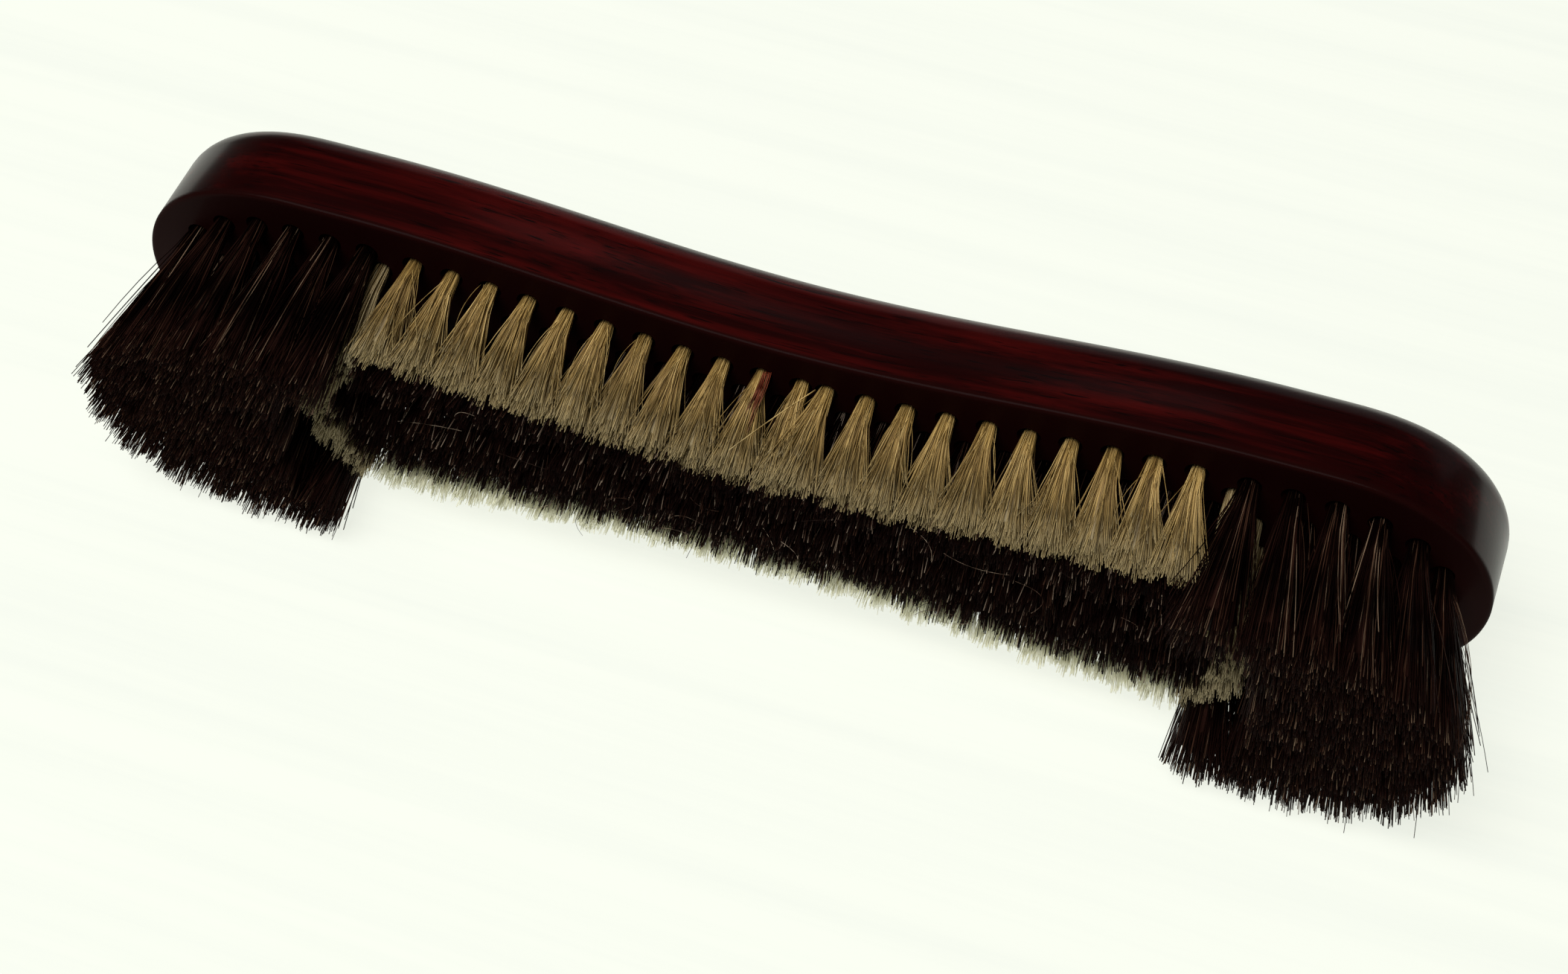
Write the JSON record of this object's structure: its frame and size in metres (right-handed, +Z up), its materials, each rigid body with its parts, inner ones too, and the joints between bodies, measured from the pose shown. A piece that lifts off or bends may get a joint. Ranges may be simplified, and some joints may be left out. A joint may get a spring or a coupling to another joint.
{
  "type": "billiard table brush",
  "caption": "Waisted lacquered hardwood table brush lying on its side, with a cream-tufted ring round dark bristles and longer dark tufts at both ends.",
  "frame": {"origin": "on the table, under the middle of the brush's bounding box", "axes": "+X along the stock, +Z up from the long side that the brush lies on, +Y out of the stock's back; the bristles point to -Y"},
  "size_m": [0.268, 0.06, 0.052],
  "materials": {
    "lacquered_wood": "dark cherry stain under gloss lacquer",
    "cream_hair": "undyed cream hair, trimmed square",
    "dark_hair": "dark brown-black hair with a faint sheen",
    "anchor_wire": "plain flat wire"
  },
  "bodies": {
    "root": {"stock": "lacquered_wood", "near_cream_tuft_01": "cream_hair", "near_anchor_01": "anchor_wire", "near_cream_tuft_02": "cream_hair", "near_anchor_02": "anchor_wire", "near_cream_tuft_03": "cream_hair", "near_anchor_03": "anchor_wire", "near_cream_tuft_04": "cream_hair", "near_anchor_04": "anchor_wire", "near_cream_tuft_05": "cream_hair", "near_anchor_05": "anchor_wire", "near_cream_tuft_06": "cream_hair", "near_anchor_06": "anchor_wire", "near_cream_tuft_07": "cream_hair", "near_anchor_07": "anchor_wire", "near_cream_tuft_08": "cream_hair", "near_anchor_08": "anchor_wire", "near_cream_tuft_09": "cream_hair", "near_anchor_09": "anchor_wire", "near_cream_tuft_10": "cream_hair", "near_anchor_10": "anchor_wire", "near_cream_tuft_11": "cream_hair", "near_anchor_11": "anchor_wire", "near_cream_tuft_12": "cream_hair", "near_anchor_12": "anchor_wire", "near_cream_tuft_13": "cream_hair", "near_anchor_13": "anchor_wire", "near_cream_tuft_14": "cream_hair", "near_anchor_14": "anchor_wire", "near_cream_tuft_15": "cream_hair", "near_anchor_15": "anchor_wire", "near_cream_tuft_16": "cream_hair", "near_anchor_16": "anchor_wire", "near_cream_tuft_17": "cream_hair", "near_anchor_17": "anchor_wire", "near_cream_tuft_18": "cream_hair", "near_anchor_18": "anchor_wire", "near_cream_tuft_19": "cream_hair", "near_anchor_19": "anchor_wire", "near_cream_tuft_20": "cream_hair", "near_anchor_20": "anchor_wire", "near_cream_tuft_21": "cream_hair", "near_anchor_21": "anchor_wire", "far_cream_row": "cream_hair", "near_dark_row": "dark_hair", "middle_dark_row": "dark_hair", "far_dark_row": "dark_hair", "left_cream_arc": "cream_hair", "right_cream_arc": "cream_hair", "left_end_outer_arc": "dark_hair", "left_end_inner_arc": "dark_hair", "left_end_core": "dark_hair", "right_end_outer_arc": "dark_hair", "right_end_inner_arc": "dark_hair", "right_end_core": "dark_hair"}
  },
  "joints": []
}
